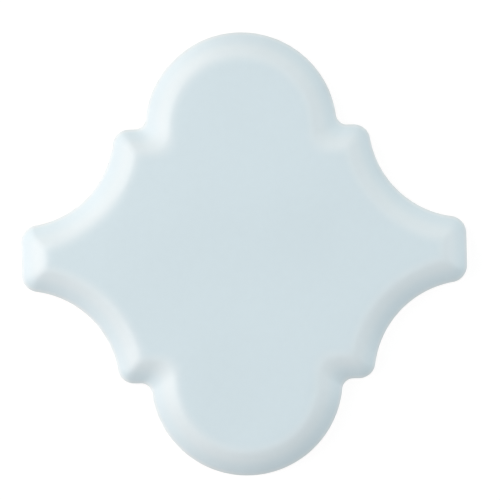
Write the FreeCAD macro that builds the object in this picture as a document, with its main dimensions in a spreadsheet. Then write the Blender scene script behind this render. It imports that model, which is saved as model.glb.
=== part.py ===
"""Moroccan arabesque wall tile: one pressed and glazed piece, lying on its back.

The face has a rounded lobe at the top and at the bottom, a blunt horn at each side and four
quarter-round bays between them, where the lobes of the neighbouring tiles nest. The edge falls away
from a flat plateau through a rounded crest, a bevel and a steeper skirt to a small rim. The back
carries shallow key grooves for the adhesive, inside a flat border.

Frame: millimetres, +Z up out of the face, +Y towards one lobe, +X towards one horn. The origin is the
centre of the back face.
"""

import FreeCAD, Part
import math
import os
from enum import IntEnum

import Sketcher
from FreeCAD import Placement, Rotation, Vector

# Driving sizes in millimetres, by alias.
SIZES = {
    # plan of the tile
    "tile_width": 120.0,
    "tile_length": 119.4,
    "bay_radius": 25.6,
    "ledge_width": 8.6,
    "horn_end_width": 17.2,
    "notch_radius": 3.0,
    "shoulder_radius": 4.4,
    "horn_radius": 4.6,
    # rounding of the corners where they run up the bevel to the plateau
    "mitre_radius": 1.6,
    "notch_crest_radius": 5.4,
    # section of the edge, band by band from the plateau outwards
    "tile_thickness": 9.0,
    "crest_width": 1.9,
    "crest_drop": 0.48,
    "bevel_width": 2.7,
    "bevel_drop": 1.3,
    "skirt_width": 2.2,
    "skirt_drop": 1.47,
    "rim_width": 0.4,
    "rim_drop": 0.6,
    # back of the tile
    "arris": 0.5,
    "key_border": 6.0,
    "key_depth": 0.5,
    "key_rib_width": 2.4,
    "key_groove_width": 3.6,
}

# Sizes that follow from the driving ones.
DERIVED = {
    "lobe_radius": "tile_width / 2 - bay_radius - ledge_width",
    "ledge_height": "horn_end_width / 2 + bay_radius",
    "plateau_inset": "rim_width + skirt_width + bevel_width + crest_width",
    "rim_height": "tile_thickness - crest_drop - bevel_drop - skirt_drop - rim_drop",
}

# Each level of the bevelled face: its inset from the outline and its height, as sums of bands.
FACE_LEVELS = [
    ("RimSection", "0", "rim_height"),
    ("SkirtSection", "rim_width", "rim_height + rim_drop"),
    ("BevelSection", "rim_width + skirt_width", "rim_height + rim_drop + skirt_drop"),
    ("CrestSection", "plateau_inset - crest_width", "tile_thickness - crest_drop"),
    ("PlateauSection", "plateau_inset", "tile_thickness"),
]

# A horn's corner rounding takes at most this share of half the horn's end.
HORN_END_SHARE = 0.55


class PointOf(IntEnum):
    """The sketcher's numbers for the points of a curve."""

    START = 1
    END = 2
    CENTRE = 3


# The sketch's origin: the start point of its horizontal axis.
ORIGIN_POINT = (-1, PointOf.START)


def make_sheet(doc):
    """The spreadsheet of driving and derived sizes, each cell with an alias."""
    sheet = doc.addObject("Spreadsheet::Sheet", "Sizes")
    cells = [(name, str(value)) for name, value in SIZES.items()]
    cells += [(name, "=" + formula) for name, formula in DERIVED.items()]
    for row, (name, content) in enumerate(cells, start=1):
        sheet.set(f"A{row}", name)
        sheet.set(f"B{row}", content)
        sheet.setAlias(f"B{row}", name)
    doc.recompute()
    return sheet


def size(sheet, name):
    """The value of one cell."""
    return float(sheet.get(name))


def evaluate(sheet, formula):
    """The value of a sum of aliases, such as "rim_width + skirt_width"."""
    total = 0.0
    sign = 1.0
    for word in formula.split():
        if word in "+-":
            sign = 1.0 if word == "+" else -1.0
        else:
            total += sign * (size(sheet, word) if word.isidentifier() else float(word))
    return total


def bind(formula):
    """The same sum as an expression that reads the sheet."""
    return " ".join(f"Sizes.{w}" if w.isidentifier() else w for w in formula.split())


class OutlineLevel:
    """The tile's outline pulled in by an inset: its radii, and the points where its curves join."""

    def __init__(self, sheet, inset_formula):
        inset = evaluate(sheet, inset_formula)
        plateau = size(sheet, "plateau_inset")
        self.inset_text = bind(inset_formula)
        self.half_width = size(sheet, "tile_width") / 2 - inset
        self.lobe_radius = size(sheet, "lobe_radius") - inset
        self.lobe_centre = Vector(0, size(sheet, "tile_length") / 2 - size(sheet, "lobe_radius"), 0)
        self.ledge = size(sheet, "ledge_height") - inset
        self.bay_radius = size(sheet, "bay_radius") + inset
        self.bay_centre = Vector(size(sheet, "tile_width") / 2, size(sheet, "ledge_height"), 0)
        share = min(inset / plateau, 1.0)
        mitre = size(sheet, "mitre_radius")
        notch = size(sheet, "notch_radius")
        self.notch_radius = notch + (size(sheet, "notch_crest_radius") - notch) * share
        self.shoulder_radius = max(size(sheet, "shoulder_radius") - inset, mitre)
        run = math.sqrt(self.bay_radius**2 - inset**2)
        self.horn_half = self.bay_centre.y - run
        self.horn_radius = min(
            max(size(sheet, "horn_radius") - inset, mitre), HORN_END_SHARE * self.horn_half
        )
        self.place_corners()

    def place_corners(self):
        """Centres of the corner roundings, and the points where they touch their neighbours."""
        notch_y = self.ledge + self.notch_radius
        notch_reach = self.lobe_radius + self.notch_radius
        notch_x = math.sqrt(notch_reach**2 - (notch_y - self.lobe_centre.y) ** 2)
        self.notch_centre = Vector(notch_x, notch_y, 0)
        shoulder_y = self.ledge - self.shoulder_radius
        shoulder_reach = self.bay_radius + self.shoulder_radius
        shoulder_rise = shoulder_y - self.bay_centre.y
        shoulder_x = self.bay_centre.x - math.sqrt(shoulder_reach**2 - shoulder_rise**2)
        self.shoulder_centre = Vector(shoulder_x, shoulder_y, 0)
        horn_x = self.half_width - self.horn_radius
        horn_reach = self.bay_radius + self.horn_radius
        horn_y = self.bay_centre.y - math.sqrt(horn_reach**2 - (self.bay_centre.x - horn_x) ** 2)
        self.horn_centre = Vector(horn_x, horn_y, 0)
        self.joins = [
            touch(self.lobe_centre, self.lobe_radius, self.notch_centre),
            Vector(self.notch_centre.x, self.ledge, 0),
            Vector(self.shoulder_centre.x, self.ledge, 0),
            touch(self.bay_centre, self.bay_radius, self.shoulder_centre),
            touch(self.bay_centre, self.bay_radius, self.horn_centre),
            Vector(self.half_width, self.horn_centre.y, 0),
        ]


def touch(centre, radius, towards):
    """The point of a circle nearest to another point."""
    away = towards - centre
    return centre + away * (radius / away.Length)


def mirrored(point, sx, sy):
    """A point of the first quadrant, carried to another one."""
    return Vector(point.x * sx, point.y * sy, 0)


class OutlineSketch:
    """A fully constrained sketch of the outline at one inset, bound to the sheet."""

    def __init__(self, body, name, level, height_text):
        self.level = level
        self.sketch = body.newObject("Sketcher::SketchObject", name)
        plane = next(f for f in body.Origin.OriginFeatures if f.Role == "XY_Plane")
        self.sketch.AttachmentSupport = [(plane, "")]
        self.sketch.MapMode = "FlatFace"
        self.sketch.setExpression(".AttachmentOffset.Base.z", height_text)
        self.draw()

    def arc(self, centre, radius, first, last):
        """An arc from first to last, the short way round; returns (geometry, end at first, end at last)."""
        low = math.atan2(first.y - centre.y, first.x - centre.x)
        high = math.atan2(last.y - centre.y, last.x - centre.x)
        flip = (high - low) % (2 * math.pi) > math.pi
        if flip:
            low, high = high, low
        return self.add_arc(centre, radius, low, high, flip)

    def lobe_arc(self, sy):
        """The long arc over a lobe, from its left end to its right end at the top, and back below."""
        centre = mirrored(self.level.lobe_centre, 1, sy)
        right = mirrored(self.level.joins[0], 1, sy)
        left = mirrored(self.level.joins[0], -1, sy)
        low, high = (right, left) if sy > 0 else (left, right)
        angles = [math.atan2(p.y - centre.y, p.x - centre.x) for p in (low, high)]
        return self.add_arc(centre, self.level.lobe_radius, angles[0], angles[1], True)

    def add_arc(self, centre, radius, low, high, flip):
        high += 2 * math.pi * (high < low)
        circle = Part.Circle(centre, Vector(0, 0, 1), radius)
        index = self.sketch.addGeometry(Part.ArcOfCircle(circle, low, high), False)
        return (index, PointOf.END, PointOf.START) if flip else (index, PointOf.START, PointOf.END)

    def line(self, first, last):
        index = self.sketch.addGeometry(Part.LineSegment(first, last), False)
        return (index, PointOf.START, PointOf.END)

    def limit(self, kind, *where, formula=None, value=None):
        """Adds a constraint, and binds its value to the sheet where it has one."""
        extra = () if value is None else (value,)
        index = self.sketch.addConstraint(Sketcher.Constraint(kind, *where, *extra))
        if formula is not None:
            self.sketch.setExpression(f"Constraints[{index}]", formula)

    def place(self, index, position, point, formulas):
        """Fixes a point by its distances from the two axes, each signed by its quadrant."""
        for kind, value, formula in (
            ("DistanceX", point.x, formulas[0]),
            ("DistanceY", point.y, formulas[1]),
        ):
            sign = "" if value > 0 else "-"
            self.limit(kind, *ORIGIN_POINT, index, position, value=value, formula=f"{sign}({formula})")

    def quadrant(self, sx, sy):
        """Notch, ledge, shoulder, bay and horn corner of one quadrant, from its lobe to its horn."""
        level, inset = self.level, self.level.inset_text
        p = [mirrored(point, sx, sy) for point in level.joins]
        notch_centre = mirrored(level.notch_centre, sx, sy)
        shoulder_centre = mirrored(level.shoulder_centre, sx, sy)
        bay_centre = mirrored(level.bay_centre, sx, sy)
        horn_centre = mirrored(level.horn_centre, sx, sy)
        notch = self.arc(notch_centre, level.notch_radius, p[0], p[1])
        ledge = self.line(p[1], p[2])
        shoulder = self.arc(shoulder_centre, level.shoulder_radius, p[2], p[3])
        bay = self.arc(bay_centre, level.bay_radius, p[3], p[4])
        horn = self.arc(horn_centre, level.horn_radius, p[4], p[5])
        share = f"min(({inset}) / Sizes.plateau_inset; 1)"
        notch_text = (
            f"Sizes.notch_radius + (Sizes.notch_crest_radius - Sizes.notch_radius) * {share}"
        )
        shoulder_text = f"max(Sizes.shoulder_radius - ({inset}); Sizes.mitre_radius)"
        half_text = f"Sizes.ledge_height - sqrt((Sizes.bay_radius + {inset}) ^ 2 - ({inset}) ^ 2)"
        horn_text = (
            f"min(max(Sizes.horn_radius - ({inset}); Sizes.mitre_radius);"
            f" {HORN_END_SHARE} * ({half_text}))"
        )
        self.limit("Radius", notch[0], value=level.notch_radius, formula=notch_text)
        self.limit("Radius", shoulder[0], value=level.shoulder_radius, formula=shoulder_text)
        self.limit("Radius", bay[0], value=level.bay_radius, formula=f"Sizes.bay_radius + {inset}")
        self.limit("Radius", horn[0], value=level.horn_radius, formula=horn_text)
        self.place(bay[0], PointOf.CENTRE, bay_centre, ("Sizes.tile_width / 2", "Sizes.ledge_height"))
        self.limit("Horizontal", ledge[0])
        sign = "" if sy > 0 else "-"
        self.limit(
            "DistanceY",
            *ORIGIN_POINT,
            ledge[0],
            PointOf.START,
            value=p[1].y,
            formula=f"{sign}(Sizes.ledge_height - ({inset}))",
        )
        return [notch, ledge, shoulder, bay, horn]

    def lobe(self, sy):
        """The round lobe at the top or the bottom, centred on the Y axis."""
        lobe = self.lobe_arc(sy)
        sign = "" if sy > 0 else "-"
        self.limit("PointOnObject", lobe[0], PointOf.CENTRE, -2)
        self.limit(
            "DistanceY",
            *ORIGIN_POINT,
            lobe[0],
            PointOf.CENTRE,
            value=sy * self.level.lobe_centre.y,
            formula=f"{sign}(Sizes.tile_length / 2 - Sizes.lobe_radius)",
        )
        radius_text = f"Sizes.lobe_radius - ({self.level.inset_text})"
        self.limit("Radius", lobe[0], value=self.level.lobe_radius, formula=radius_text)
        return lobe

    def horn_end(self, sx):
        """The straight end of a horn, from its quadrant with y of the sign of sx to the other."""
        first = mirrored(self.level.joins[5], sx, sx)
        last = mirrored(self.level.joins[5], sx, -sx)
        end = self.line(first, last)
        sign = "" if sx > 0 else "-"
        self.limit("Vertical", end[0])
        self.limit(
            "DistanceX",
            *ORIGIN_POINT,
            end[0],
            PointOf.START,
            value=first.x,
            formula=f"{sign}(Sizes.tile_width / 2 - ({self.level.inset_text}))",
        )
        return end

    def draw(self):
        """The closed outline, clockwise from the top lobe, each curve tangent to the next."""
        path = [self.lobe(1)]
        path += self.quadrant(1, 1)
        path += [self.horn_end(1)]
        path += [reverse(edge) for edge in reversed(self.quadrant(1, -1))]
        path += [self.lobe(-1)]
        path += self.quadrant(-1, -1)
        path += [self.horn_end(-1)]
        path += [reverse(edge) for edge in reversed(self.quadrant(-1, 1))]
        for edge, after in zip(path, path[1:] + path[:1]):
            self.limit("Tangent", edge[0], edge[2], after[0], after[1])


def reverse(edge):
    """An edge walked the other way."""
    return (edge[0], edge[2], edge[1])


def make_blank(doc, sheet):
    """The pressed body: an upright edge, the bevelled face above it and an arris round the back."""
    body = doc.addObject("PartDesign::Body", "Blank")
    outline = OutlineSketch(body, "Outline", OutlineLevel(sheet, "0"), "0 mm").sketch
    doc.recompute()
    wall = body.newObject("PartDesign::Pad", "Wall")
    wall.Profile = outline
    wall.setExpression("Length", "Sizes.rim_height")
    doc.recompute()
    sections = [
        OutlineSketch(body, name, OutlineLevel(sheet, inset), f"({bind(height)}) * 1 mm").sketch
        for name, inset, height in FACE_LEVELS
    ]
    doc.recompute()
    face = body.newObject("PartDesign::AdditiveLoft", "BevelledFace")
    face.Profile = sections[0]
    face.Sections = sections[1:]
    face.Ruled = False
    doc.recompute()
    arris = body.newObject("PartDesign::Chamfer", "BackArris")
    backs = [
        f"Face{i}"
        for i, f in enumerate(face.Shape.Faces, start=1)
        if f.BoundBox.ZMax < size(sheet, "arris") / 2
    ]
    arris.Base = (face, backs)
    arris.setExpression("Size", "Sizes.arris")
    doc.recompute()
    return body


def make_key_grooves(doc, sheet):
    """The recess inside the border of the back, less the ribs that stand in it."""
    holder = doc.addObject("PartDesign::Body", "KeyField")
    border = OutlineSketch(holder, "KeyOutline", OutlineLevel(sheet, "key_border"), "0 mm").sketch
    doc.recompute()
    field = holder.newObject("PartDesign::Pad", "KeyDepth")
    field.Profile = border
    field.setExpression("Length", "Sizes.key_depth")
    pitch = size(sheet, "key_rib_width") + size(sheet, "key_groove_width")
    each_side = int(size(sheet, "tile_length") / 2 / pitch)
    ribs = []
    for number in range(-each_side, each_side + 1):
        rib = doc.addObject("Part::Box", f"KeyRib{number + each_side + 1}")
        rib.setExpression("Length", "Sizes.tile_width")
        rib.setExpression("Width", "Sizes.key_rib_width")
        rib.setExpression("Height", "2 * Sizes.key_depth")
        rib.setExpression(".Placement.Base.x", "-Sizes.tile_width / 2")
        rib.setExpression(
            ".Placement.Base.y",
            f"{number} * (Sizes.key_rib_width + Sizes.key_groove_width) - Sizes.key_rib_width / 2",
        )
        rib.setExpression(".Placement.Base.z", "-Sizes.key_depth / 2")
        ribs.append(rib)
    comb = doc.addObject("Part::MultiFuse", "KeyRibs")
    comb.Shapes = ribs
    grooves = doc.addObject("Part::Cut", "KeyGrooves")
    grooves.Base = holder
    grooves.Tool = comb
    doc.recompute()
    return grooves


def main():
    doc = FreeCAD.newDocument("ArabesqueTile")
    sheet = make_sheet(doc)
    tile = doc.addObject("Part::Cut", "Tile")
    tile.Label = "arabesque_tile"
    tile.Base = make_blank(doc, sheet)
    tile.Tool = make_key_grooves(doc, sheet)
    tile.Placement = Placement(Vector(0, 0, 0), Rotation())
    doc.recompute()
    for item in doc.Objects:
        if "Invalid" in item.State or "Error" in item.State:
            raise RuntimeError(f"{item.Label} failed: {item.State}")
    if tile.Shape.isNull() or not tile.Shape.isValid() or len(tile.Shape.Solids) != 1:
        raise RuntimeError("the tile is not one valid solid")
    os.makedirs("parts", exist_ok=True)
    tile.Shape.exportStep(f"parts/{tile.Label}.step")
    box = tile.Shape.BoundBox
    print(tile.Label, "volume", round(tile.Shape.Volume, 1), "faces", len(tile.Shape.Faces))
    print("box", [round(v, 2) for v in (box.XMin, box.XMax, box.YMin, box.YMax, box.ZMin, box.ZMax)])


main()
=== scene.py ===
"""Looks of the moroccan arabesque tile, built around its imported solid.

The tile is one closed surface. Its outline, pulled in step by step, carries the section of the
edge from the middle of the glazed face over the crest and the bevel, down the wall and round the
arris to the back, where the key grooves are cut. Sizes of the tile and of its finishes are
millimetres, and meshes are in metres.
"""

import logging
import math
from dataclasses import dataclass
from enum import Enum

import bpy
import numpy as np
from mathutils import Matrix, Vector


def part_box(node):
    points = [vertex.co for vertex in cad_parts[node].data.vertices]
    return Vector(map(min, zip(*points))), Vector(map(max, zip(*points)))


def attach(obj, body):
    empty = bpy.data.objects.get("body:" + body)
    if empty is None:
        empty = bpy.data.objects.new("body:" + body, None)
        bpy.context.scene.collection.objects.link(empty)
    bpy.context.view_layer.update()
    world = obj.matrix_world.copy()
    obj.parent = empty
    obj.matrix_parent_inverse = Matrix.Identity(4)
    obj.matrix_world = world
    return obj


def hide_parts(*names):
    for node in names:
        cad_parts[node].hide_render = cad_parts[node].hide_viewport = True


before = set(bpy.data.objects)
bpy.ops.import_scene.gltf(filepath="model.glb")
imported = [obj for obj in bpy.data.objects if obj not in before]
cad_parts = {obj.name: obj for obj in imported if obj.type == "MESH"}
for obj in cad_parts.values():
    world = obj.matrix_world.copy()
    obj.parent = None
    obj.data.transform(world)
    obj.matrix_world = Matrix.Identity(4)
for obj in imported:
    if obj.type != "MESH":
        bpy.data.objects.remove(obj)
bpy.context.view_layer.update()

log = logging.getLogger("arabesque_tile")

NODE = "arabesque_tile"
BODY = "root"
MM = 0.001
INSET_ATTRIBUTE = "edge_inset"

# The ranges that hold nearly all the values of a smooth and of a detailed noise.
SMOOTH_NOISE = (0.3, 0.7)
FINE_NOISE = (0.2, 0.8)

Colour = tuple[float, float, float, float]
Span = tuple[float, float]


class Finish(Enum):
    """The two finishes of the tile, by their place in its list of materials."""

    GLAZE = 0
    BISCUIT = 1


def smooth_max(first: np.ndarray, second: float, blend: float) -> np.ndarray:
    """The larger of two values, eased where they cross: half of their sum and the root of their
    squared difference plus the squared blend.

    Args:
        first: values that change along the inset.
        second: the value that takes over.
        blend: how wide the easing is.

    Returns:
        The eased larger values.
    """
    return 0.5 * (first + second + np.sqrt((first - second) ** 2 + blend**2))


@dataclass(frozen=True)
class Outline:
    """The plan of the tile and the family of outlines inside it, each pulled in by an inset."""

    width: float
    length: float
    bay_radius: float = 25.6
    ledge_width: float = 8.6
    horn_end_width: float = 17.2
    notch_radius: float = 3.0
    notch_crest_radius: float = 5.4
    crest_inset: float = 7.2
    shoulder_radius: float = 4.4
    horn_radius: float = 4.6
    mitre_radius: float = 1.6
    mitre_blend: float = 0.8
    horn_end_share: float = 0.55
    lobe_steps: int = 56
    notch_steps: int = 12
    ledge_steps: int = 6
    shoulder_steps: int = 14
    bay_steps: int = 44
    horn_steps: int = 14
    end_steps: int = 6

    @staticmethod
    def arc(
        x: np.ndarray,
        y: np.ndarray,
        radius: np.ndarray,
        start: np.ndarray,
        stop: np.ndarray,
        steps: int,
    ) -> np.ndarray:
        """Arcs of one circle for each inset: the centre plus the radius times the cosine and the
        sine of an angle that goes evenly from start to stop, without its last point.

        Args:
            x: the centres' x.
            y: the centres' y.
            radius: the radii.
            start: the first angles.
            stop: the last angles.
            steps: points on each arc.

        Returns:
            An array of insets by steps by two.
        """
        share = np.arange(steps)[None, :] / steps
        angle = start[:, None] + (stop - start)[:, None] * share
        across = x[:, None] + radius[:, None] * np.cos(angle)
        up = y[:, None] + radius[:, None] * np.sin(angle)
        return np.stack([across, up], axis=-1)

    @staticmethod
    def straight(first: np.ndarray, last: np.ndarray, steps: int) -> np.ndarray:
        """Straight runs for each inset, from first towards last, without the last point."""
        share = (np.arange(steps) / steps)[None, :, None]
        return first[:, None, :] * (1 - share) + last[:, None, :] * share

    def quadrant(self, inset: np.ndarray) -> np.ndarray:
        """The outline from the top of the lobe to the middle of the right horn's end.

        Convex curves lose the inset from their radius and hollow ones gain it. Each corner circle
        touches both neighbours, so its centre follows from the right triangle of the two radii.

        Args:
            inset: how far each outline is pulled in.

        Returns:
            An array of insets by points by two, its last point included.
        """
        zero = np.zeros_like(inset)
        half_width, half_length = self.width / 2, self.length / 2
        lobe_radius = half_width - self.bay_radius - self.ledge_width
        lobe_y = half_length - lobe_radius
        bay_y = self.horn_end_width / 2 + self.bay_radius
        lobe, bay = lobe_radius - inset, self.bay_radius + inset
        ledge = bay_y - inset

        crest_share = np.clip(inset / self.crest_inset, 0, 1)
        notch = self.notch_radius + (self.notch_crest_radius - self.notch_radius) * crest_share
        notch_y = ledge + notch
        notch_x = np.sqrt((lobe + notch) ** 2 - (notch_y - lobe_y) ** 2)

        shoulder = smooth_max(self.shoulder_radius - inset, self.mitre_radius, self.mitre_blend)
        shoulder_y = ledge - shoulder
        shoulder_x = half_width - np.sqrt((bay + shoulder) ** 2 - (shoulder_y - bay_y) ** 2)

        end_half = bay_y - np.sqrt(bay**2 - inset**2)
        horn = smooth_max(self.horn_radius - inset, self.mitre_radius, self.mitre_blend)
        horn = np.minimum(horn, self.horn_end_share * end_half)
        horn_x = half_width - inset - horn
        horn_y = bay_y - np.sqrt((bay + horn) ** 2 - (half_width - horn_x) ** 2)

        to_notch = np.arctan2(notch_y - lobe_y, notch_x)
        to_shoulder = np.arctan2(bay_y - shoulder_y, half_width - shoulder_x)
        to_horn = np.arctan2(bay_y - horn_y, half_width - horn_x)
        right = half_width - inset
        top, down = zero + math.pi / 2, zero + 1.5 * math.pi
        return np.concatenate(
            [
                self.arc(zero, zero + lobe_y, lobe, top, to_notch, self.lobe_steps),
                self.arc(notch_x, notch_y, notch, to_notch + math.pi, down, self.notch_steps),
                self.straight(
                    np.stack([notch_x, ledge], axis=-1),
                    np.stack([shoulder_x, ledge], axis=-1),
                    self.ledge_steps,
                ),
                self.arc(shoulder_x, shoulder_y, shoulder, top, to_shoulder, self.shoulder_steps),
                self.arc(
                    zero + half_width,
                    zero + bay_y,
                    bay,
                    to_shoulder + math.pi,
                    to_horn + math.pi,
                    self.bay_steps,
                ),
                self.arc(horn_x, horn_y, horn, to_horn, zero, self.horn_steps),
                self.straight(
                    np.stack([right, horn_y], axis=-1),
                    np.stack([right, zero], axis=-1),
                    self.end_steps,
                ),
                np.stack([right, zero], axis=-1)[:, None, :],
            ],
            axis=1,
        )

    def rings(self, inset: np.ndarray) -> np.ndarray:
        """The closed outlines, clockwise from the top of the lobe: the first quadrant and its three
        mirror images, each walked so that it starts where the one before it stops.

        Args:
            inset: how far each outline is pulled in.

        Returns:
            An array of insets by points by two.
        """
        first = self.quadrant(inset)
        back = first[:, ::-1]
        turns = [(first, (1, 1)), (back, (1, -1)), (first, (-1, -1)), (back, (-1, 1))]
        return np.concatenate([part[:, :-1] * np.array(signs) for part, signs in turns], axis=1)

    def half_width_at(self, inset: float, y: np.ndarray) -> np.ndarray:
        """Half the width of one pulled-in outline at each y, read off its first quadrant."""
        points = self.quadrant(np.array([inset]))[0][::-1]
        return np.interp(np.abs(y), np.maximum.accumulate(points[:, 1]), points[:, 0])


@dataclass(frozen=True)
class EdgeSection:
    """The section across the edge, drawn by its slope in degrees at a few insets."""

    thickness: float
    insets: tuple[float, ...] = (9.4, 8.0, 7.2, 6.7, 6.0, 5.3, 4.7, 3.6, 2.6, 1.2, 0.3)
    slopes: tuple[float, ...] = (0.0, 1.7, 3.8, 7.5, 15.5, 21.6, 24.0, 25.5, 30.0, 34.5, 38.0)
    easing: float = 0.5
    rim_radius: float = 0.5
    rim_rings: int = 8
    samples: int = 2000
    face_rings: int = 54
    wall_rings: int = 7
    arris: float = 0.5
    arris_rings: int = 5

    def face(self) -> tuple[np.ndarray, np.ndarray]:
        """Insets and heights from the plateau to the top of the wall.

        The slope runs straight between its given values and is then averaged over the easing
        length. The height falls by the running sum of the slope's tangent. The rim is an arc that
        starts at the last slope and ends upright.

        Returns:
            The insets and the heights of the rings.
        """
        last = math.radians(self.slopes[-1])
        rim_width = self.rim_radius * (1 - math.sin(last))
        inset = np.linspace(self.insets[0], rim_width, self.samples)
        slope = np.radians(np.interp(inset, self.insets[::-1], self.slopes[::-1]))
        step = inset[0] - inset[1]
        span = int(self.easing / step) // 2
        padded = np.concatenate([np.zeros(span), slope, np.full(span, last)])
        window = np.hanning(2 * span + 3)[1:-1]
        slope = np.convolve(padded, window / window.sum(), mode="valid")
        fall = np.concatenate([[0], np.cumsum(np.tan(slope[1:]) * step)])
        picked = np.linspace(0, self.samples - 1, self.face_rings).astype(int)
        turn = np.linspace(last, math.pi / 2, self.rim_rings + 1)[1:]
        rim_inset = self.rim_radius * (1 - np.sin(turn))
        rim_fall = fall[-1] + self.rim_radius * (math.cos(last) - np.cos(turn))
        inset = np.concatenate([inset[picked], rim_inset])
        return inset, self.thickness - np.concatenate([fall[picked], rim_fall])

    def side(self, rim: float) -> tuple[np.ndarray, np.ndarray]:
        """Insets and heights down the upright wall and round the arris, a quarter of a circle.

        Args:
            rim: height of the top of the wall.

        Returns:
            The insets and the heights of the rings.
        """
        wall = np.linspace(rim, self.arris, self.wall_rings + 1)[1:]
        turn = np.linspace(0, math.pi / 2, self.arris_rings + 1)[1:]
        inset = np.concatenate([np.zeros_like(wall), self.arris * (1 - np.cos(turn))])
        return inset, np.concatenate([wall, self.arris * (1 - np.sin(turn))])


@dataclass(frozen=True)
class KeyGrooves:
    """Grooves of the back that key into the adhesive, with ribs between them and a border round."""

    border: float = 6.0
    depth: float = 0.5
    rib_width: float = 2.4
    groove_width: float = 3.6
    draft: float = 0.1
    reach: float = 1.0
    rows: int = 10

    def strips(self, outline: Outline) -> list[tuple[float, float]]:
        """The rows of grooves: one at every pitch, kept where it lies inside the border.

        Args:
            outline: the plan of the tile.

        Returns:
            The lowest and the highest y of each groove.
        """
        pitch = self.rib_width + self.groove_width
        limit = outline.length / 2 - self.border
        count = math.ceil(limit / pitch)
        starts = [number * pitch + self.rib_width / 2 for number in range(-count, count)]
        grooves = [(y, y + self.groove_width) for y in starts]
        return [(low, high) for low, high in grooves if -limit < low and high < limit]

    def cutter(self, outline: Outline) -> tuple[np.ndarray, list[tuple[int, ...]]]:
        """One closed bar for each groove: its plan is as wide as the bordered outline at each y,
        and its top is smaller all round by the draft.

        Args:
            outline: the plan of the tile.

        Returns:
            The points in millimetres, and the faces of all the bars.
        """
        points, faces = [], []
        side = 2 * (self.rows + 1)
        for low, high in self.strips(outline):
            base = len(points) * 2 * side
            share = np.linspace(0, 1, self.rows + 1)
            rings = []
            for draft, z in ((0.0, -self.reach), (self.draft, self.depth)):
                y = low + draft + share * (high - low - 2 * draft)
                x = outline.half_width_at(self.border, low + share * (high - low)) - draft
                plan = np.concatenate([np.stack([x, y], -1), np.stack([-x, y], -1)[::-1]])
                rings.append(np.column_stack([plan, np.full(side, z)]))
            points.append(np.concatenate(rings))
            faces.append(tuple(range(base + side - 1, base - 1, -1)))
            faces.append(tuple(range(base + side, base + 2 * side)))
            for i in range(side):
                after = (i + 1) % side
                faces.append((base + i, base + after, base + side + after, base + side + i))
        return np.concatenate(points), faces


@dataclass(frozen=True)
class NodePad:
    """A node tree being filled: its methods add nodes and link what they are given."""

    tree: bpy.types.NodeTree

    def feed(self, node: bpy.types.Node, inputs: dict) -> None:
        """Fills a node's inputs.

        Args:
            node: the node.
            inputs: values, or sockets to link from, by the name or number of the input.
        """
        for name, value in inputs.items():
            if isinstance(value, bpy.types.NodeSocket):
                self.tree.links.new(value, node.inputs[name])
            else:
                node.inputs[name].default_value = value

    def add(self, kind: str, inputs: dict | None = None, **settings: object) -> bpy.types.Node:
        """Adds one node.

        Args:
            kind: the node's type.
            inputs: values, or sockets to link from, by the name or number of the input.
            settings: the node's own properties.

        Returns:
            The new node.
        """
        node = self.tree.nodes.new(kind)
        for name, value in settings.items():
            setattr(node, name, value)
        self.feed(node, inputs or {})
        return node

    def math(self, operation: str, *values: object) -> bpy.types.NodeSocket:
        """A Math node's result."""
        return self.add("ShaderNodeMath", dict(enumerate(values)), operation=operation).outputs[0]

    def ease(
        self,
        value: bpy.types.NodeSocket,
        low: float,
        high: float,
        to_low: float = 0.0,
        to_high: float = 1.0,
    ) -> bpy.types.NodeSocket:
        """A value carried smoothly from one range to another, and held at its ends.

        Args:
            value: the value.
            low: where the easing starts.
            high: where it ends.
            to_low: the result at low.
            to_high: the result at high.

        Returns:
            The eased value.
        """
        inputs = {
            "Value": value,
            "From Min": low,
            "From Max": high,
            "To Min": to_low,
            "To Max": to_high,
        }
        return self.add("ShaderNodeMapRange", inputs, interpolation_type="SMOOTHSTEP").outputs[0]

    def noise(
        self, vector: bpy.types.NodeSocket, size: float, detail: float, roughness: float = 0.5
    ) -> bpy.types.NodeSocket:
        """Noise between 0 and 1.

        Args:
            vector: where it is read.
            size: about the width of its blotches in millimetres.
            detail: how many finer layers it has.
            roughness: how strong the finer layers are.

        Returns:
            The noise.
        """
        inputs = {
            "Vector": vector,
            "Scale": 1 / (size * MM),
            "Detail": detail,
            "Roughness": roughness,
        }
        return self.add("ShaderNodeTexNoise", inputs).outputs[0]

    def mix(self, share: object, first: object, second: object) -> bpy.types.NodeSocket:
        """A mix of two colours, on the Mix node's sockets for colours."""
        inputs = {0: share, 6: first, 7: second}
        return self.add("ShaderNodeMix", inputs, data_type="RGBA").outputs[2]

    def lift(self, colour: object, gain: bpy.types.NodeSocket) -> bpy.types.NodeSocket:
        """A colour made lighter or darker by a gain near one."""
        inputs = {"Vector": colour, "Scale": gain}
        return self.add("ShaderNodeVectorMath", inputs, operation="SCALE").outputs[0]


def new_material(name: str) -> tuple[bpy.types.Material, NodePad, bpy.types.Node]:
    """A material with its Principled shader still plain.

    Args:
        name: the material's name.

    Returns:
        The material, the pad that fills it and its shader.
    """
    material = bpy.data.materials.new(name)
    material.use_nodes = True
    pad = NodePad(material.node_tree)
    return material, pad, material.node_tree.nodes["Principled BSDF"]


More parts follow.
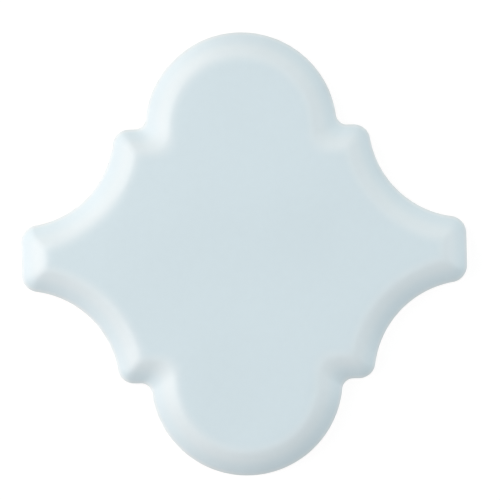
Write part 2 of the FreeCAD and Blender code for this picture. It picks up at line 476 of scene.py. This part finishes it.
@dataclass(frozen=True)
class ClayBody:
    """Fired clay, as a node group: a cream body with fine grain, soft clouds and a few dark specks.

    Sizes and depths are millimetres. The gains add up to the factor of the colour.
    """

    colour: Colour = (0.70, 0.635, 0.54, 1.0)
    cloud_size: float = 16.0
    cloud_gain: Span = (0.93, 1.04)
    grain_size: float = 0.35
    grain_gain: Span = (-0.04, 0.04)
    grain_depth: float = 0.05
    wear_gain: float = 0.07
    roughness: Span = (0.78, 0.94)
    speck_colour: Colour = (0.30, 0.22, 0.16, 1.0)
    speck_spacing: float = 2.6
    speck_edge: Span = (0.05, 0.13)
    speck_share: float = 0.75

    def group(self) -> bpy.types.NodeTree:
        """Builds the group.

        Returns:
            A node group with a Vector and a Wear input, and Color, Roughness and Height outputs.
        """
        tree = bpy.data.node_groups.new("Clay body", "ShaderNodeTree")
        tree.interface.new_socket("Vector", in_out="INPUT", socket_type="NodeSocketVector")
        wear = tree.interface.new_socket("Wear", in_out="INPUT", socket_type="NodeSocketFloat")
        wear.default_value = 0.0
        tree.interface.new_socket("Color", in_out="OUTPUT", socket_type="NodeSocketColor")
        tree.interface.new_socket("Roughness", in_out="OUTPUT", socket_type="NodeSocketFloat")
        tree.interface.new_socket("Height", in_out="OUTPUT", socket_type="NodeSocketFloat")
        pad = NodePad(tree)
        source = pad.add("NodeGroupInput")
        vector = source.outputs["Vector"]
        grain = pad.noise(vector, self.grain_size, detail=4, roughness=0.7)
        cloud = pad.noise(vector, self.cloud_size, detail=3)
        clouds = pad.ease(cloud, *SMOOTH_NOISE, *self.cloud_gain)
        gain = pad.math("ADD", clouds, pad.ease(grain, *FINE_NOISE, *self.grain_gain))
        gain = pad.math("ADD", gain, pad.math("MULTIPLY", source.outputs["Wear"], self.wear_gain))
        inputs = {"Vector": vector, "Scale": 1 / (self.speck_spacing * MM)}
        cells = pad.add("ShaderNodeTexVoronoi", inputs)
        speck = pad.ease(cells.outputs["Distance"], *self.speck_edge, self.speck_share, 0.0)
        colour = pad.mix(speck, pad.lift(self.colour[:3], gain), self.speck_colour)
        outputs = {
            "Color": colour,
            "Roughness": pad.ease(grain, *FINE_NOISE, *self.roughness),
            "Height": pad.math("MULTIPLY", grain, self.grain_depth),
        }
        pad.add("NodeGroupOutput", outputs)
        return tree


@dataclass(frozen=True)
class SatinGlaze:
    """Pale blue satin glaze: deepest on the plateau and on the wall, paler on the crest, the skirt
    and the rim, partly for thinner glaze and partly as a painted highlight, with an uneven lower
    edge on the wall, below which the clay shows.

    Each band is where one finish eases into the next: the crest's, the skirt's and the rim's are
    insets from the outline, the wall's is a height, and the lower edge's and the bead's are heights
    above the wandering lower edge. Bands, sizes and depths are millimetres. The gains add up to the
    factor of the colour.
    """

    colour: Colour = (0.572, 0.690, 0.742, 1.0)
    # The crest's, the skirt's and the rim's colours are paler partly for thinner glaze and partly
    # as a painted highlight.
    thin_glaze_and_sheen_colour: Colour = (0.641, 0.734, 0.772, 1.0)
    skirt_glaze_and_sheen_colour: Colour = (0.602, 0.714, 0.764, 1.0)
    rim_glaze_and_sheen_colour: Colour = (0.670, 0.747, 0.777, 1.0)
    bead_colour: Colour = (0.550, 0.680, 0.735, 1.0)
    crest_band: Span = (5.4, 9.0)
    skirt_band: Span = (1.8, 4.6)
    rim_band: Span = (0.1, 1.1)
    wall_band: Span = (4.2, 5.1)
    lower_edge: float = 1.5
    lower_edge_swing: float = 0.9
    lower_edge_size: float = 9.0
    lower_edge_band: Span = (-0.06, 0.10)
    bead_band: Span = (0.15, 0.9)
    bead_share: float = 0.6
    bead_depth: float = 0.08
    skin: float = 0.12
    cloud_size: float = 30.0
    cloud_gain: Span = (0.990, 1.010)
    fleck_size: float = 2.2
    fleck_gain: Span = (-0.006, 0.006)
    ripple_size: float = 9.0
    ripple_depth: float = 0.02
    peel_size: float = 1.5
    peel_depth: float = 0.003
    roughness: Span = (0.325, 0.355)
    ior: float = 1.5

    def material(self, clay: bpy.types.NodeTree) -> bpy.types.Material:
        """Builds the material.

        Args:
            clay: the group of the clay body.

        Returns:
            The material of the glazed face and the wall.
        """
        material, pad, shader = new_material("satin_glaze")
        place = pad.add("ShaderNodeTexCoord").outputs["Object"]
        height = pad.add("ShaderNodeSeparateXYZ", {"Vector": place}).outputs["Z"]
        height = pad.math("DIVIDE", height, MM)
        inset = pad.add("ShaderNodeAttribute", attribute_name=INSET_ATTRIBUTE).outputs["Fac"]

        wander = pad.noise(place, self.lower_edge_size, detail=3)
        line = pad.math("MULTIPLY_ADD", wander, self.lower_edge_swing, self.lower_edge)
        above = pad.math("SUBTRACT", height, line)
        glazed = pad.ease(above, *self.lower_edge_band)
        bead = pad.math("MULTIPLY", glazed, pad.ease(above, *self.bead_band, 1.0, 0.0))

        cloud = pad.noise(place, self.cloud_size, detail=2)
        fleck = pad.noise(place, self.fleck_size, detail=3)
        # Paler crest, skirt and rim, the same all round the edge: partly thinner glaze, partly a
        # painted highlight.
        colour = pad.mix(pad.ease(inset, *self.crest_band), self.thin_glaze_and_sheen_colour, self.colour)
        colour = pad.mix(pad.ease(inset, *self.skirt_band), self.skirt_glaze_and_sheen_colour, colour)
        colour = pad.mix(pad.ease(inset, *self.rim_band), self.rim_glaze_and_sheen_colour, colour)
        colour = pad.mix(pad.ease(height, *self.wall_band), self.colour, colour)
        colour = pad.mix(pad.math("MULTIPLY", bead, self.bead_share), colour, self.bead_colour)
        clouds = pad.ease(cloud, *SMOOTH_NOISE, *self.cloud_gain)
        gain = pad.math("ADD", clouds, pad.ease(fleck, *FINE_NOISE, *self.fleck_gain))
        colour = pad.lift(colour, gain)

        body = pad.add("ShaderNodeGroup", {"Vector": place}, node_tree=clay)
        shown = pad.mix(glazed, body.outputs["Color"], colour)
        sheen = pad.ease(cloud, *SMOOTH_NOISE, *self.roughness)
        gap = pad.math("SUBTRACT", sheen, body.outputs["Roughness"])
        rough = pad.math("MULTIPLY_ADD", gap, glazed, body.outputs["Roughness"])

        ripple = pad.noise(place, self.ripple_size, detail=1)
        peel = pad.noise(place, self.peel_size, detail=1)
        relief = pad.math("MULTIPLY_ADD", ripple, self.ripple_depth, self.skin)
        relief = pad.math("MULTIPLY_ADD", peel, self.peel_depth, relief)
        relief = pad.math("MULTIPLY_ADD", bead, self.bead_depth, relief)
        relief = pad.math("MULTIPLY", relief, glazed)
        bare = pad.math("MULTIPLY", body.outputs["Height"], pad.math("SUBTRACT", 1.0, glazed))
        bump = pad.add("ShaderNodeBump", {"Height": pad.math("ADD", relief, bare), "Distance": MM})
        finish = {
            "Base Color": shown,
            "Roughness": rough,
            "IOR": self.ior,
            "Normal": bump.outputs["Normal"],
        }
        pad.feed(shader, finish)
        return material


@dataclass(frozen=True)
class BiscuitBack:
    """Bare clay of the back: rubbed pale on the ribs and the border, and darker in the grooves.

    The groove's band is the height over which its shade sets in, and the rub's is a noise's range.
    """

    groove_shade: float = 0.86
    groove_band: Span = (0.05, 0.4)
    rub_size: float = 7.0
    rub_band: Span = (0.42, 0.62)

    def material(self, clay: bpy.types.NodeTree) -> bpy.types.Material:
        """Builds the material.

        Args:
            clay: the group of the clay body.

        Returns:
            The material of the arris, the back and its grooves.
        """
        material, pad, shader = new_material("biscuit_back")
        place = pad.add("ShaderNodeTexCoord").outputs["Object"]
        height = pad.add("ShaderNodeSeparateXYZ", {"Vector": place}).outputs["Z"]
        groove = pad.ease(pad.math("DIVIDE", height, MM), *self.groove_band)
        rub = pad.ease(pad.noise(place, self.rub_size, detail=4), *self.rub_band)
        wear = pad.math("MULTIPLY", rub, pad.math("SUBTRACT", 1.0, groove))
        body = pad.add("ShaderNodeGroup", {"Vector": place, "Wear": wear}, node_tree=clay)
        # Darker in the grooves by the groove shade's factor, easing in with height over the
        # groove's band.
        shade = pad.math("MULTIPLY_ADD", groove, self.groove_shade - 1.0, 1.0)
        bump = pad.add("ShaderNodeBump", {"Height": body.outputs["Height"], "Distance": MM})
        finish = {
            "Base Color": pad.lift(body.outputs["Color"], shade),
            "Roughness": body.outputs["Roughness"],
            "Normal": bump.outputs["Normal"],
        }
        pad.feed(shader, finish)
        return material


@dataclass(frozen=True)
class ArabesqueTile:
    """The whole tile: its glazed face, wall and grooved back as one closed surface."""

    outline: Outline
    section: EdgeSection
    grooves: KeyGrooves = KeyGrooves()
    plateau_rings: int = 16

    @classmethod
    def from_frame(cls) -> "ArabesqueTile":
        """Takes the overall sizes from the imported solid.

        Returns:
            The tile.
        """
        low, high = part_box(NODE)
        width, length, thickness = (high - low) / MM
        return cls(Outline(width, length), EdgeSection(thickness))

    def surface(self) -> tuple[np.ndarray, np.ndarray, np.ndarray]:
        """The grid of the tile, ring by ring from the middle of the face to the edge of the back.

        On the plateau the rings are the innermost outline shrunk towards the middle. From there
        each ring is the outline at the section's inset, at the section's height.

        Returns:
            Points as rings by points by three, each ring's inset, and each ring's height.
        """
        face_inset, face_height = self.section.face()
        side_inset, side_height = self.section.side(face_height[-1])
        shrink = np.arange(1, self.plateau_rings + 1) / (self.plateau_rings + 1)
        inset = np.concatenate([np.full(shrink.size, face_inset[0]), face_inset, side_inset])
        height = np.concatenate([np.full(shrink.size, face_height[0]), face_height, side_height])
        scale = np.concatenate([shrink, np.ones(face_inset.size + side_inset.size)])
        plan = self.outline.rings(inset) * scale[:, None, None]
        lift = np.broadcast_to(height[:, None, None], (*plan.shape[:2], 1))
        return np.concatenate([plan, lift], axis=-1), inset, height

    def mesh(self) -> bpy.types.Mesh:
        """The closed mesh before its grooves: quads between the rings, triangles round the middle
        of the face and one flat face on the back.

        Returns:
            The mesh in metres, with each point's inset as an attribute.
        """
        grid, inset, height = self.surface()
        rings, around = grid.shape[:2]
        points = np.concatenate([[[0.0, 0.0, height[0]]], grid.reshape(-1, 3)]) * MM
        index = 1 + np.arange(rings * around).reshape(rings, around)
        after = np.roll(index, -1, axis=1)
        quads = np.stack([index[:-1], after[:-1], after[1:], index[1:]], axis=-1).reshape(-1, 4)
        hub = np.stack([np.zeros(around, int), after[0], index[0]], axis=-1)
        mesh = bpy.data.meshes.new(NODE + "_dressed")
        mesh.from_pydata(points, [], hub.tolist() + quads.tolist() + [index[-1].tolist()])

        quad_height = np.repeat(height[1:], around)
        bare = np.concatenate([np.zeros(around, bool), quad_height < self.section.arris, [True]])
        finish = np.where(bare, Finish.BISCUIT.value, Finish.GLAZE.value)
        mesh.polygons.foreach_set("material_index", finish)
        smooth = np.ones(len(bare), bool)
        smooth[-1] = False
        mesh.polygons.foreach_set("use_smooth", smooth)
        attribute = mesh.attributes.new(INSET_ATTRIBUTE, "FLOAT", "POINT")
        attribute.data.foreach_set("value", np.concatenate([inset[:1], np.repeat(inset, around)]))
        return mesh

    def cut_grooves(self, tile: bpy.types.Object, materials: list[bpy.types.Material]) -> None:
        """Cuts the key grooves out of the back.

        Args:
            tile: the tile's object.
            materials: the tile's materials, for the walls of the cuts.
        """
        points, faces = self.grooves.cutter(self.outline)
        mesh = bpy.data.meshes.new("key_groove_bars")
        mesh.from_pydata(points * MM, [], faces)
        for material in materials:
            mesh.materials.append(material)
        finish = np.full(len(faces), Finish.BISCUIT.value)
        mesh.polygons.foreach_set("material_index", finish)
        bars = bpy.data.objects.new("key_groove_bars", mesh)
        bpy.context.scene.collection.objects.link(bars)
        cut = tile.modifiers.new("KeyGrooves", "BOOLEAN")
        cut.operation = "DIFFERENCE"
        cut.solver = "EXACT"
        cut.object = bars
        depsgraph = bpy.context.evaluated_depsgraph_get()
        tile.data = bpy.data.meshes.new_from_object(tile.evaluated_get(depsgraph))
        tile.modifiers.clear()
        bpy.data.objects.remove(bars)

    def build(self) -> bpy.types.Object:
        """Builds the tile and dresses it.

        Returns:
            The tile's object.
        """
        clay = ClayBody().group()
        materials = [SatinGlaze().material(clay), BiscuitBack().material(clay)]
        mesh = self.mesh()
        for material in materials:
            mesh.materials.append(material)
        tile = bpy.data.objects.new(NODE + "_dressed", mesh)
        bpy.context.scene.collection.objects.link(tile)
        self.cut_grooves(tile, materials)
        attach(tile, BODY)
        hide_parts(NODE)
        return tile


@dataclass(frozen=True)
class Softbox:
    """A square area lamp that faces the tile, placed by its turn about the tile from +X and its
    height angle, both in degrees.

    Its power is in watts, its sizes are metres, and its shine is the share of the power that also
    glints on the glaze.
    """

    name: str
    azimuth: float
    elevation: float
    power: float
    tint: tuple[float, float, float] = (1.0, 1.0, 1.0)
    side: float = 0.55
    distance: float = 1.0
    shine: float = 1.0
    fill_gap: float = 0.01

    def build(self) -> list[bpy.types.Object]:
        """Builds the softbox, unseen by the camera: a lamp that glints, with the shine's share of
        the power, and a fill just behind it that doesn't, with the rest. Lamps in one plane would
        hide each other from the rays that the surfaces send out.

        Returns:
            The lamps' objects.
        """
        turn, rise = math.radians(self.azimuth), math.radians(self.elevation)
        flat = math.cos(rise)
        away = Vector((math.cos(turn) * flat, math.sin(turn) * flat, math.sin(rise)))
        holders = []
        lamps = (("", self.shine, 0.0, True), ("_fill", 1 - self.shine, self.fill_gap, False))
        for suffix, share, gap, glints in lamps:
            if share > 0:
                lamp = bpy.data.lights.new(self.name + suffix, "AREA")
                lamp.shape = "SQUARE"
                lamp.size = self.side
                lamp.energy = self.power * share
                lamp.color = self.tint
                holder = bpy.data.objects.new(lamp.name, lamp)
                bpy.context.scene.collection.objects.link(holder)
                holder.location = away * (self.distance + gap)
                holder.rotation_euler = away.to_track_quat("Z", "Y").to_euler()
                holder.visible_camera = False
                holder.visible_glossy = glints
                holders.append(holder)
        return holders


@dataclass(frozen=True)
class Studio:
    """The pale floor, the white surround, the lamps and the camera over the tile.

    Lengths are metres, but for the sensor, the rim's height and the picture's scale, which are in
    millimetres. The roll is in degrees, and the tile's pixel counts from the upper left corner.
    """

    softboxes: tuple[Softbox, ...] = (
        Softbox("left_softbox", 180, 30, 4.05, (1.10, 0.985, 0.95), shine=0.3),
        Softbox("low_left_softbox", 180, 12, 0.81, (1.14, 0.96, 0.90), side=0.35, shine=0.0),
        Softbox("high_left_softbox", 180, 60, 2.97, (1.03, 0.99, 0.98)),
        Softbox(
            "upper_left_softbox",
            135,
            30,
            15.7,
            (1.08, 0.99, 0.93),
            side=1.1,
            distance=2.0,
            shine=0.35,
        ),
        Softbox("lower_left_softbox", 217, 30, 0.67, (0.83, 1.04, 1.13)),
        Softbox("right_softbox", 0, 30, 4.38, (0.985, 1.0, 1.01), shine=0.22),
        Softbox("low_right_softbox", 0, 12, 0.58, side=0.35, shine=0.0),
        Softbox("upper_right_softbox", 45, 30, 3.45, (0.94, 1.045, 1.01), side=1.1, distance=2.0),
    )
    ambient: float = 0.138
    floor_half: float = 4.0
    floor_drop: float = 0.0002
    floor_glow: float = 0.915
    floor_glow_reach: Span = (0.12, 0.45)
    floor_catch: float = 0.13
    floor_albedo: float = 0.80
    camera_height: float = 1.6
    sensor: float = 36.0
    frame_pixels: int = 500
    pixels_per_mm: float = 3.712
    rim_height: float = 5.15
    roll: float = 1.35
    tile_pixel: tuple[float, float] = (244.0, 253.9)

    @staticmethod
    def seen(pad: NodePad) -> bpy.types.NodeSocket:
        """Tells rays that show the backdrop from rays that carry its light.

        Args:
            pad: the backdrop's tree.

        Returns:
            One for rays from the camera, a reflection or through glass, and otherwise zero.
        """
        path = pad.add("ShaderNodeLightPath")
        direct = pad.math("MAXIMUM", path.outputs["Is Camera Ray"], path.outputs["Is Glossy Ray"])
        return pad.math("MAXIMUM", direct, path.outputs["Is Transmission Ray"])

    def floor(self) -> bpy.types.Object:
        """Builds the floor: it shows white with the tile's soft shadow, and lights the tile as pale
        card. Where it shows, it glows a little less near the tile, so that the shadow stays below
        white.

        Returns:
            The floor's object.
        """
        half = self.floor_half
        corners = [(-half, -half), (half, -half), (half, half), (-half, half)]
        mesh = bpy.data.meshes.new("floor")
        mesh.from_pydata([(x, y, -self.floor_drop) for x, y in corners], [], [(0, 1, 2, 3)])
        material = bpy.data.materials.new("pale_floor")
        material.use_nodes = True
        material.node_tree.nodes.clear()
        pad = NodePad(material.node_tree)
        card = pad.add("ShaderNodeBsdfDiffuse", {"Color": (*[self.floor_albedo] * 3, 1.0)})
        catch = pad.add("ShaderNodeBsdfDiffuse", {"Color": (*[self.floor_catch] * 3, 1.0)})
        place = pad.add("ShaderNodeTexCoord").outputs["Object"]
        away = pad.add("ShaderNodeVectorMath", {"Vector": place}, operation="LENGTH")
        level = pad.ease(away.outputs["Value"], *self.floor_glow_reach, self.floor_glow, 1.0)
        glow = pad.add("ShaderNodeEmission", {"Strength": level})
        shown = pad.add("ShaderNodeAddShader", {0: glow.outputs[0], 1: catch.outputs[0]})
        inputs = {0: self.seen(pad), 1: card.outputs[0], 2: shown.outputs[0]}
        surface = pad.add("ShaderNodeMixShader", inputs)
        pad.add("ShaderNodeOutputMaterial", {"Surface": surface.outputs[0]})
        mesh.materials.append(material)
        floor = bpy.data.objects.new("floor", mesh)
        bpy.context.scene.collection.objects.link(floor)
        return floor

    def surround(self) -> bpy.types.World:
        """Builds the world: white where it is seen, and a softer level where it lights the tile.

        Returns:
            The world.
        """
        world = bpy.data.worlds.new("white_surround")
        bpy.context.scene.world = world
        world.use_nodes = True
        pad = NodePad(world.node_tree)
        level = pad.math("MULTIPLY_ADD", self.seen(pad), 1.0 - self.ambient, self.ambient)
        background = world.node_tree.nodes["Background"]
        pad.feed(background, {"Color": (1.0, 1.0, 1.0, 1.0), "Strength": level})
        return world

    def camera(self) -> bpy.types.Object:
        """Builds the camera, straight above: turned so that the tile leans as in the photograph,
        and moved aside by the tile's distance from the middle of the picture.

        Returns:
            The camera's object.
        """
        data = bpy.data.cameras.new("camera")
        view_width = self.frame_pixels / self.pixels_per_mm * MM
        data.sensor_width = self.sensor
        data.lens = self.sensor * (self.camera_height - self.rim_height * MM) / view_width
        camera = bpy.data.objects.new("camera", data)
        bpy.context.scene.collection.objects.link(camera)
        middle = self.frame_pixels / 2
        right = (middle - self.tile_pixel[0]) / self.pixels_per_mm * MM
        up = (self.tile_pixel[1] - middle) / self.pixels_per_mm * MM
        turn = -math.radians(self.roll)
        camera.rotation_euler = (0.0, 0.0, turn)
        camera.location = (
            right * math.cos(turn) - up * math.sin(turn),
            right * math.sin(turn) + up * math.cos(turn),
            self.camera_height,
        )
        bpy.context.scene.camera = camera
        return camera

    def build(self) -> None:
        """Builds the floor, the surround, the lamps and the camera."""
        self.floor()
        self.surround()
        for softbox in self.softboxes:
            softbox.build()
        self.camera()
        bpy.context.scene.view_settings.view_transform = "Standard"


def main() -> None:
    """Builds the tile and the studio, and reports each."""
    logging.basicConfig(level=logging.INFO, format="%(name)s: %(message)s")
    tile = ArabesqueTile.from_frame().build()
    log.info("tile: %d points, %d faces", len(tile.data.vertices), len(tile.data.polygons))
    studio = Studio()
    studio.build()
    log.info("studio: floor, surround, %d softboxes, camera", len(studio.softboxes))


if __name__ == "__main__":
    main()
